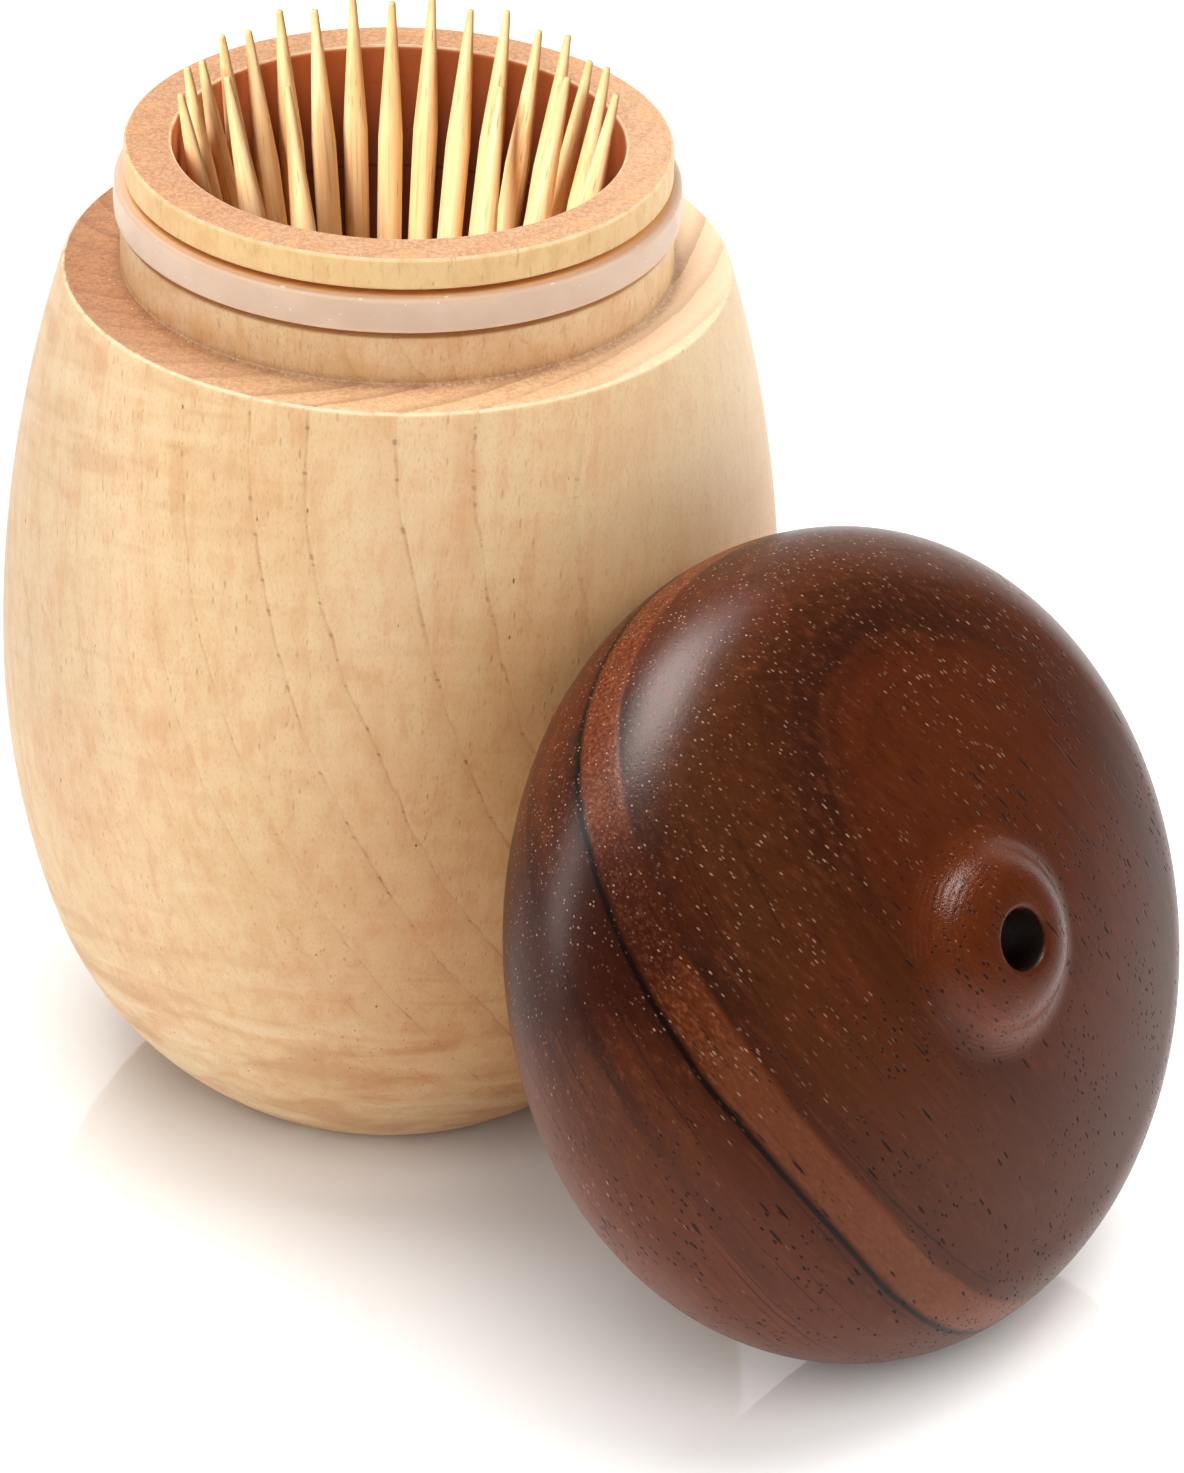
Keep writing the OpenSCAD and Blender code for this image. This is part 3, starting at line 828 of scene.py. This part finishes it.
def dark_wood():
    """The lid's wood, in the lid's own frame, with Z along its axis."""
    n = Nodes("dark_wood")
    g = Grain(n, direction=(0.4614, -0.8872, 0.004), pith=(10.8, 5.62, 61.64))
    low, high = LID_LAYERS[0][0], LID_LAYERS[-1][0]
    ring = n.add(g.ring, n.off_centre(g.space(0.09, 0.03), 1.0, 1.0))
    ring = n.add(ring, n.off_centre(g.space(0.8, 0.12), 1.0, 0.30))
    share = n.math("DIVIDE", n.add(ring, -low), high - low)
    colour = n.ramp(share, [((r - low) / (high - low), srgb(*c)) for r, c in LID_LAYERS])

    # fine growth lines, fibres and streaks, redder patches, and browner low and right parts
    fine = n.noise(n.join(n.times(ring, 1.5), n.times(g.t, 0.03)), 1.0, 3.0, 0.62)
    colour = n.mix(n.step(fine, 0.50, 0.74, 0.0, 0.40), colour, srgb(44, 22, 16))
    colour = n.mix(n.step(fine, 0.48, 0.26, 0.0, 0.26), colour, srgb(128, 62, 32))
    fibre = n.noise(g.space(3.4, 0.2), 1.0, 3.0, 0.6)
    colour = n.mix(n.step(fibre, 0.40, 0.72, 0.0, 0.24), colour, srgb(124, 64, 38))
    streak = n.noise(g.space(1.5, 0.09), 1.0, 3.0, 0.65)
    colour = n.mix(n.step(streak, 0.52, 0.68, 0.0, 0.42), colour, srgb(62, 28, 16))
    colour = n.mix(n.step(streak, 0.46, 0.30, 0.0, 0.36), colour, srgb(146, 78, 46))
    patch = n.noise(g.space(0.08, 0.04), 1.0, 2.0)
    colour = n.mix(n.step(patch, 0.48, 0.72, 0.0, 0.40), colour, srgb(112, 42, 18))
    darker_stretch = n.times(n.step(g.t, -28.5, -25.0), n.step(g.t, -15.5, -20.5))
    darker_stretch = n.times(darker_stretch, n.step(ring, 53.8, 54.4))
    colour = n.mix(n.times(darker_stretch, 0.74), colour, srgb(58, 20, 8))
    lower = n.step(g.t, -19.5, -7.0)
    colour = n.mix(n.times(lower, 0.42), colour, srgb(116, 54, 22))
    colour = n.mix(n.times(n.step(g.t, 4.0, 22.0), 0.42), colour, srgb(86, 42, 18))

    # thin dark lines, a grainy reddish band, and the sharp line beside it
    thin_lines = n.noise(n.join(n.times(ring, 3.4), n.times(g.t, 0.035)), 1.0, 2.0, 0.6)
    thin_lines = n.times(n.step(thin_lines, 0.60, 0.68), n.step(ring, 47.0, 50.0))
    colour = n.mix(n.times(thin_lines, 0.55), colour, srgb(34, 16, 10))
    in_band = n.times(n.step(ring, 54.1, 54.6), n.step(ring, 57.3, 56.9))
    low_band = n.times(in_band, n.step(g.t, -16.0, -9.0))
    colour = n.mix(n.times(low_band, 0.40), colour, srgb(150, 88, 58))
    in_band = n.times(in_band, n.step(g.t, -8.0, -18.0, 0.30, 1.0))
    in_band = n.times(in_band, n.add(1.0, n.times(darker_stretch, -0.65)))
    band_grain = n.noise(g.space(3.4, 1.3), 1.0, 2.0, 0.6)
    light_grain = n.times(in_band, n.step(band_grain, 0.48, 0.66, 0.0, 0.50))
    dark_grain = n.times(in_band, n.step(band_grain, 0.46, 0.32, 0.0, 0.45))
    colour = n.mix(light_grain, colour, srgb(176, 104, 66))
    colour = n.mix(dark_grain, colour, srgb(66, 28, 14))
    from_line = n.math("ABSOLUTE", n.add(ring, -LID_LINE))
    colour = n.mix(n.step(from_line, 0.28, 0.08, 0.0, 0.92), colour, srgb(20, 9, 6))

    dark, dust = lid_pores(n, g)
    colour = n.mix(n.times(dark, 0.85), colour, srgb(24, 11, 8))
    colour = n.mix(dust, colour, srgb(222, 176, 146))

    # the socket and the funnel inside are bare wood, and the hole's wall is painted dark as
    # painted shade
    inner, in_hole = lid_inside(n, g)
    colour = n.mix(n.times(inner, 0.55), colour, srgb(104, 62, 42))
    colour = n.mix(n.times(in_hole, 0.93), colour, srgb(14, 6, 4))

    tool = tool_rings(n, g)
    colour = n.mix(n.times(n.step(tool, 0.25, 0.7), 0.14), colour, srgb(168, 112, 86))

    rough = n.add(0.28, n.times(fibre, 0.08))
    on_nib = n.step(g.from_axis, 8.5, 6.5)
    rough = n.add(rough, n.times(on_nib, -0.15))
    rough = n.add(rough, n.times(n.math("MAXIMUM", inner, in_hole), 0.4))
    rough = n.add(rough, n.times(n.math("MAXIMUM", dark, dust), 0.25))
    height = n.add(n.times(fibre, 0.20), n.times(dark, -1.2))
    height = n.add(height, n.times(n.times(in_band, band_grain), 0.8))
    height = n.add(height, n.times(dust, -0.4))
    height = n.add(height, n.times(tool, 0.30))
    height = n.add(height, n.times(n.noise(g.at, 5.0, 2.0, 0.6), 0.22))
    height = n.add(height, n.times(n.times(n.noise(g.at, 7.0, 2.0, 0.6), on_nib), 1.1))
    n.set(
        Base_Color=colour,
        Roughness=rough,
        Normal=n.bump(height, 0.00005, 0.8),
        Specular_IOR_Level=0.16,
    )
    return n.material


def soft_seal():
    """Milky soft plastic with lint on it, with painted highlights, shade and light, in the jar's
    own frame.
    """
    n = Nodes("soft_seal")
    at, x, y, z = n.own_place()
    cloud = n.noise(at, 0.22, 2.0)
    colour = n.mix(n.step(cloud, 0.3, 0.7), srgb(220, 190, 165), srgb(230, 202, 178))
    to_edge = n.math("ABSOLUTE", n.add(z, -(RING_LOW + RING_H / 2)))
    # painted highlight along both edges of the ring
    edge_glint = n.step(to_edge, RING_H / 2 - 0.42, RING_H / 2 - 0.15, 0.0, 0.35)
    colour = n.mix(edge_glint, colour, srgb(250, 228, 204))
    # painted shade on the ring's top face
    on_top = n.step(z, RING_LOW + RING_H - 0.40, RING_LOW + RING_H - 0.05)
    colour = n.mix(n.times(on_top, 0.60), colour, srgb(188, 152, 126))
    # painted light: warm under the lip, as if lit through the ring
    under_lip = n.step(n.vector("LENGTH", n.join(x, y)), LIP_R + 0.2, LIP_R - 0.2)
    colour = n.mix(n.times(n.times(on_top, under_lip), 0.9), colour, srgb(255, 206, 140))
    near, pick, _ = n.cells(at, 1.3)
    fleck = n.times(n.step(near, 0.13, 0.06), n.step(pick, 0.68, 0.72))
    stretched = n.vector("MULTIPLY", at, (0.5, 0.5, 3.0))
    near, pick, _ = n.cells(stretched, 1.0)
    lint = n.times(n.step(near, 0.12, 0.05), n.step(pick, 0.56, 0.60))
    fleck = n.math("MAXIMUM", fleck, lint)
    colour = n.mix(n.times(fleck, 0.75), colour, srgb(255, 250, 242))
    smudge = n.noise(at, 1.1, 3.0, 0.6)
    n.set(
        Base_Color=colour,
        Roughness=n.add(0.30, n.times(smudge, 0.16)),
        Normal=n.bump(n.add(n.times(smudge, 0.4), fleck), 0.00003, 0.6),
        Specular_IOR_Level=0.45,
        Subsurface_Weight=0.35,
        Subsurface_Radius=(1.0, 0.7, 0.5),
        Subsurface_Scale=0.0012,
    )
    return n.material


def bamboo():
    """Runs in each toothpick's own frame, with Z along it and its own shift."""
    n = Nodes("bamboo")
    shift = n.node("ShaderNodeAttribute", attribute_name="pick_shift").outputs["Fac"]
    _, x, y, z = n.own_place()
    own = n.times(shift, 61.0)

    def place(across, along):
        return n.join(
            n.add(n.times(x, across), own), n.times(y, across), n.add(n.times(z, along), own)
        )

    fibre = n.noise(place(5.0, 0.10), 1.0, 3.0, 0.6)
    strand = n.noise(place(1.9, 0.05), 1.0, 2.0, 0.5)
    colour = n.mix(n.step(strand, 0.3, 0.7), srgb(244, 197, 136), srgb(255, 224, 172))
    colour = n.mix(n.step(fibre, 0.52, 0.70, 0.0, 0.55), colour, srgb(208, 144, 84))
    colour = n.mix(n.times(shift, 0.18), colour, srgb(230, 178, 118))
    near, pick, _ = n.cells(place(3.4, 0.22), 1.0)
    dash = n.times(n.step(near, 0.22, 0.10), n.step(pick, 0.6, 0.68))
    colour = n.mix(n.times(dash, 0.5), colour, srgb(172, 112, 64))
    tip = n.math("MINIMUM", z, n.add(PICK_LENGTH, n.times(z, -1.0)))
    colour = n.mix(n.step(tip, 2.0, 0.2, 0.0, 0.35), colour, srgb(214, 162, 102))
    height = n.add(n.times(fibre, 0.8), n.times(dash, -0.6))
    n.set(
        Base_Color=colour,
        Roughness=n.add(0.48, n.times(fibre, 0.15)),
        Normal=n.bump(height, 0.00005, 0.8),
        Specular_IOR_Level=0.35,
    )
    return n.material


def floor_white():
    """A smooth white board with a faint sheen."""
    n = Nodes("floor_white")
    coordinates = n.node("ShaderNodeTexCoord")
    haze = n.noise(coordinates.outputs["Object"], 30.0, 2.0)
    n.set(
        Base_Color=(0.93, 0.928, 0.924),
        Roughness=n.add(0.05, n.times(haze, 0.03)),
        Specular_IOR_Level=0.5,
    )
    return n.material


# ---------------------------------------------------------------- pieces

def finish_piece(piece, material, body, node):
    """Gives a piece its material and its body, and hides the CAD node that it replaces."""
    piece.data.materials.append(material)
    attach(piece, body)
    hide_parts(node)
    return piece


def lid_place():
    """The lid's frame: its origin in the rim's plane, Z along its axis, X level."""
    hole = next(m for m in frame["record"]["mounts"] if m["name"] == "dispensing_hole")
    up = Vector(hole["axis"]).normalized()
    origin = Vector(hole["pos_m"]) - up * HOLE_MIDDLE * MM
    level = Vector((0, 0, 1)).cross(up).normalized()
    matrix = Matrix((level, up.cross(level), up)).transposed().to_4x4()
    matrix.translation = origin
    return matrix


def pick_place(node):
    """A toothpick's frame, from its CAD solid: Z along it from its lower end."""
    points = np.array([v.co for v in frame["nodes"][node].data.vertices], float)
    low, high = points.min(0), points.max(0)
    middle = (low + high) / 2
    _, _, axes = np.linalg.svd(points - points.mean(0), full_matrices=False)
    along = axes[0] if axes[0][2] > 0 else -axes[0]
    reach = (points - middle) @ along
    side = (points - middle) - np.outer(reach, along)
    middle = middle + side.mean(0)
    foot = Vector(middle + along * reach.min())
    up = Vector(along)
    level = (Vector((1, 0, 0)) - up * up.x).normalized()
    matrix = Matrix((level, up.cross(level), up)).transposed().to_4x4()
    matrix.translation = foot
    return matrix


jar = finish_piece(
    turned("jar_turned", jar_profile(), SEGMENTS), pale_wood(), "jar", "jar"
)
seal = finish_piece(
    turned("seal_moulded", ring_profile(), SEGMENTS),
    soft_seal(),
    "jar",
    "seal_ring",
)
lid = finish_piece(
    turned("lid_turned", lid_profile(), SEGMENTS, lid_place()),
    dark_wood(),
    "lid",
    "lid",
)

# each toothpick is turned and shaded a little apart from the last, with no two alike
GOLDEN_TURN = 2.399
GOLDEN_SHARE = 0.618034
picks = []
pick_material = bamboo()
pick_nodes = sorted(name for name in frame["nodes"] if name.startswith("toothpick_"))
for place_number, node in enumerate(pick_nodes):
    turn = Matrix.Rotation(place_number * GOLDEN_TURN, 4, "Z")
    pick = turned("pick" + node[-3:], pick_profile(), PICK_SEGMENTS, pick_place(node) @ turn)
    shift = pick.data.attributes.new("pick_shift", "FLOAT", "POINT")
    value = (place_number * GOLDEN_SHARE) % 1.0
    shift.data.foreach_set("value", [value] * len(pick.data.vertices))
    picks.append(finish_piece(pick, pick_material, node, node))


# ---------------------------------------------------------------- stage, lights and camera

# where the lamps are aimed (m), and the camera's fit to the photograph (mm and pixels)
LAMP_AIM = Vector((0.012, -0.015, 0.04))
CAMERA_AT = Vector((0, -489.190, 307.334))
FOCAL_PIXELS = 7200.72
PHOTO_WIDTH = 1184
SENSOR_MM = 36.0


def stage_floor():
    data = bpy.data.meshes.new("floor")
    mesh = bmesh.new()
    bmesh.ops.create_grid(mesh, x_segments=8, y_segments=8, size=2.0)
    mesh.to_mesh(data)
    mesh.free()
    floor = bpy.data.objects.new("floor", data)
    bpy.context.scene.collection.objects.link(floor)
    data.materials.append(floor_white())
    return floor


def softbox(name, direction, distance, size, radiance, roll=0.0, only=None):
    """A soft rectangle of light from a direction, on all that is there or only on some."""
    data = bpy.data.lights.new(name, "AREA")
    data.shape = "RECTANGLE"
    data.size, data.size_y = size
    data.energy = radiance * math.pi * size[0] * size[1]
    data.color = (1.0, 0.99, 0.975)
    lamp = bpy.data.objects.new(name, data)
    bpy.context.scene.collection.objects.link(lamp)
    way = Vector(direction).normalized()
    turn = way.to_track_quat("Z", "Y").to_matrix().to_4x4() @ Matrix.Rotation(roll, 4, "Z")
    lamp.matrix_world = Matrix.Translation(LAMP_AIM + way * distance) @ turn
    if only:
        lit = bpy.data.collections.new(name + "_lit")
        for piece in only:
            lit.objects.link(piece)
        lamp.light_linking.receiver_collection = lit
    return lamp


def camera():
    """The photograph's view: from the front, 29.7 degrees above the level."""
    yaw, pitch, roll = math.radians(1.856), math.radians(29.697), math.radians(1.862)
    ahead = Vector(
        (math.sin(yaw) * math.cos(pitch), math.cos(yaw) * math.cos(pitch), -math.sin(pitch))
    )
    right = Vector((math.cos(yaw), -math.sin(yaw), 0))
    up = right.cross(ahead)
    right, up = (
        right * math.cos(roll) + up * math.sin(roll),
        up * math.cos(roll) - right * math.sin(roll),
    )
    data = bpy.data.cameras.new("camera")
    data.sensor_fit = "HORIZONTAL"
    data.sensor_width = SENSOR_MM
    data.lens = FOCAL_PIXELS / PHOTO_WIDTH * SENSOR_MM
    data.clip_start = 0.01
    held = bpy.data.objects.new("camera", data)
    bpy.context.scene.collection.objects.link(held)
    matrix = Matrix((right, up, -ahead)).transposed().to_4x4()
    matrix.translation = CAMERA_AT * MM
    held.matrix_world = matrix
    bpy.context.scene.camera = held


floor = stage_floor()
camera()

# a large soft lamp over the top, two faint panels for all that is there, and lamps that
# lift only the pieces they name
pale_pieces = [jar, seal]
turned_pieces = [lid, jar, seal]
softbox(
    "softbox_top", (-0.27, 0.155, 0.95), 0.9, (0.95, 0.62), 5.2, roll=0.3, only=turned_pieces
)
softbox("panel_back", (0.1, 1.0, 0.28), 1.3, (1.8, 0.8), 0.9)
softbox("panel_left", (-1.0, -0.1, 0.35), 1.3, (1.2, 0.9), 0.1)
softbox("floor_top", (0.05, 0.17, 0.95), 0.9, (0.95, 0.7), 5.3, only=[floor])
softbox("floor_light", (0.22, -0.7, 0.7), 1.2, (1.2, 1.2), 3.7, only=[floor])
softbox("floor_left", (-0.75, -0.6, 0.5), 1.2, (0.9, 0.9), 0.7, only=[floor])
# the floor's sheen shows only as a reflection
sheen = softbox("floor_sheen", (0.03, 1.0, 0.56), 1.4, (2.6, 1.6), 1.4, only=[floor])
sheen.visible_diffuse = False
softbox("fill_front", (-0.2, -0.6, 0.85), 1.2, (0.7, 0.6), 4.0, only=pale_pieces)
softbox("fill_left", (-0.9, -0.3, 0.5), 1.2, (0.7, 0.7), 0.8, only=pale_pieces)
softbox("fill_right", (0.9, 0.1, 0.65), 1.2, (0.7, 0.7), 4.9, only=pale_pieces)
softbox("fill_picks", (-0.5, -0.6, 0.65), 1.2, (0.4, 0.4), 54.0, only=picks)

# these two show only as highlights on the lid
gloss = softbox("gloss_top", (-0.29, 0.13, 0.95), 0.9, (0.58, 0.42), 19.0, roll=0.3, only=[lid])
gloss.visible_diffuse = False
side_gloss = softbox("gloss_left", (-0.95, -0.06, 0.22), 1.2, (0.4, 1.0), 8.0, only=[lid])
side_gloss.visible_diffuse = False

world = bpy.data.worlds.new("world")
world.use_nodes = True
background = world.node_tree.nodes["Background"]
background.inputs["Color"].default_value = (1.0, 0.995, 0.985, 1)
background.inputs["Strength"].default_value = 0.10
bpy.context.scene.world = world
bpy.context.scene.view_settings.view_transform = "Standard"
